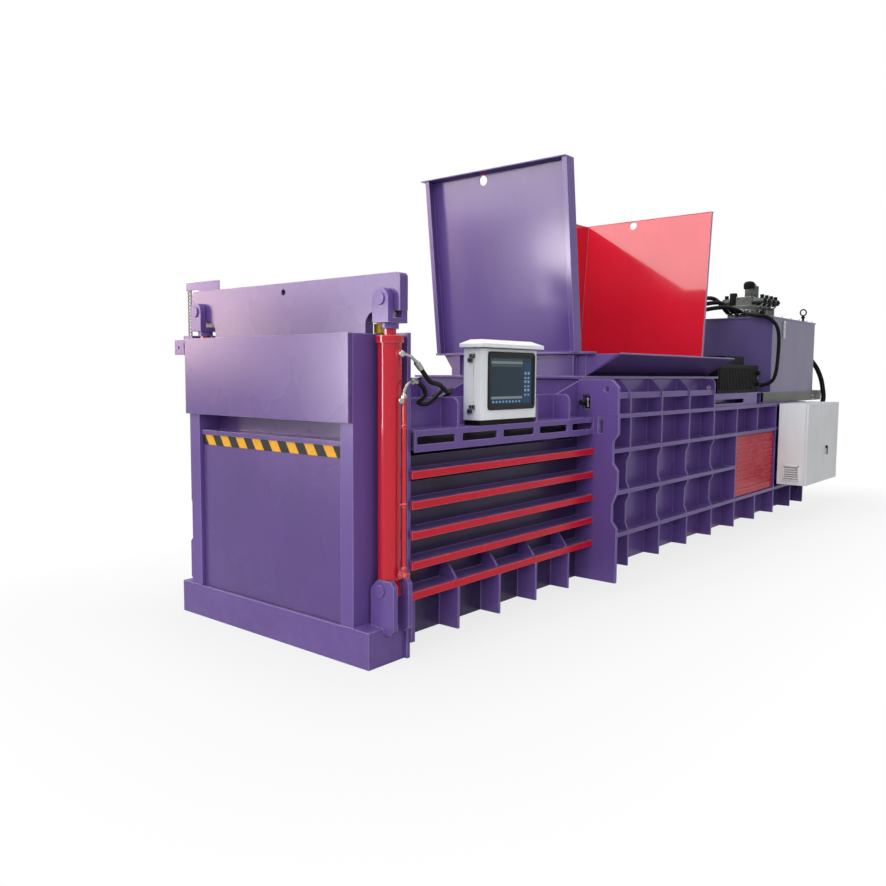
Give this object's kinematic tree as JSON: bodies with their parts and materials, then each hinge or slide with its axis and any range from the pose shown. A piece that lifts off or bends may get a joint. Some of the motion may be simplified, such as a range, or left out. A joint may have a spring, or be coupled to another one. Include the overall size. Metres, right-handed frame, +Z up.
{
  "type": "recycling baler",
  "caption": "Horizontal recycling baler with a lifting discharge gate, tie slots along the bale chamber, a ribbed press box, an open feed hopper, a control box and a rear hydraulic power unit.",
  "frame": {"origin": "On the floor under the front edge of the sill, on the machine's centreline.", "axes": "+X runs along the machine from the discharge gate to the power unit at the rear, +Z is up, and -Y is the loading side with the control box."},
  "size_m": [8.053, 2.449, 3.09],
  "materials": {
    "purple_paint": "semi-gloss, light orange peel",
    "red_paint": "gloss",
    "hydraulic_red": "gloss enamel",
    "bright_steel": "hard chrome, ground",
    "machined_steel": "ground and bolted",
    "black_paint": "satin black",
    "hose_rubber": "matt rubber",
    "sheet_white": "fine textured powder coat",
    "sheet_grey": "satin grey",
    "screen_plastic": "glass-fronted touch panel",
    "yellow_plastic": "moulded",
    "hazard_tape": "black and yellow slanting stripes",
    "gauge_clear": "clear tube in a metal guard"
  },
  "bodies": {
    "machine": {"sill": "purple_paint", "gate_posts": "purple_paint", "gate_cover": "purple_paint", "rear_flange": "purple_paint", "base_rails": "purple_paint", "chamber_floor": "purple_paint", "chamber_roof": "purple_paint", "tie_beams": "purple_paint", "tie_bars": "red_paint", "chamber_ribs": "purple_paint", "top_beams": "purple_paint", "joint_plate": "purple_paint", "press_walls": "purple_paint", "rib_grid_near": "purple_paint", "rib_grid_far": "purple_paint", "rear_deck": "purple_paint", "rear_end_plate": "purple_paint", "access_hatches": "red_paint", "feed_throat": "purple_paint", "hopper_neck": "purple_paint", "hopper_lip": "purple_paint", "hopper_front": "purple_paint", "hopper_back": "red_paint", "hopper_side": "red_paint", "fixed_knife": "machined_steel", "base_clevises": "purple_paint", "base_pins": "purple_paint", "lift_barrels": "hydraulic_red", "lift_pipes": "hydraulic_red", "lift_hoses": "hose_rubber", "limit_switch": "yellow_plastic", "rack_guide": "purple_paint", "main_cylinder": "hydraulic_red", "cylinder_saddle": "purple_paint", "control_base": "black_paint", "control_box": "sheet_white", "rain_hood": "sheet_white", "tank_beams": "sheet_grey", "oil_tank": "purple_paint", "level_gauge": "gauge_clear", "tank_breather": "black_paint", "valve_manifold": "machined_steel", "oil_cooler": "black_paint", "pump_motor": "black_paint", "tank_hoses": "hose_rubber", "cabinet": "sheet_white"},
    "gate_assembly": {"gate": "purple_paint", "hazard_strip": "hazard_tape", "lift_rods": "bright_steel", "rod_clevises": "purple_paint", "clevis_pins": "purple_paint", "position_rack": "purple_paint"},
    "ram_assembly": {"ram": "purple_paint", "ram_wear": "machined_steel", "main_rod": "bright_steel", "ram_pin": "machined_steel"},
    "screen_door": {"control_door": "sheet_white", "touch_screen": "screen_plastic"},
    "cabinet_leaf": {"cabinet_door": "sheet_white"},
    "cabinet_latch": {"cabinet_handle": "black_paint"}
  },
  "joints": [
    {"name": "gate_lift", "type": "slide", "parent": "machine", "child": "gate_assembly", "axis": [0, 0, 1], "range_m": [0, 1.05]},
    {"name": "ram_stroke", "type": "slide", "parent": "machine", "child": "ram_assembly", "axis": [-1, 0, 0], "range_m": [0, 2.35]},
    {"name": "screen_door_hinge", "type": "hinge", "parent": "machine", "child": "screen_door", "pos_m": [0.86, -0.834, 1.5], "axis": [0, 0, -1], "range_deg": [0, 110]},
    {"name": "cabinet_hinge", "type": "hinge", "parent": "machine", "child": "cabinet_leaf", "pos_m": [7.238, -1.188, 0.8], "axis": [0, 0, 1], "range_deg": [0, 110]},
    {"name": "cabinet_latch_turn", "type": "hinge", "parent": "cabinet_leaf", "child": "cabinet_latch", "pos_m": [6.78, -1.22, 0.766], "axis": [0, 1, 0], "range_deg": [0, 90]}
  ]
}
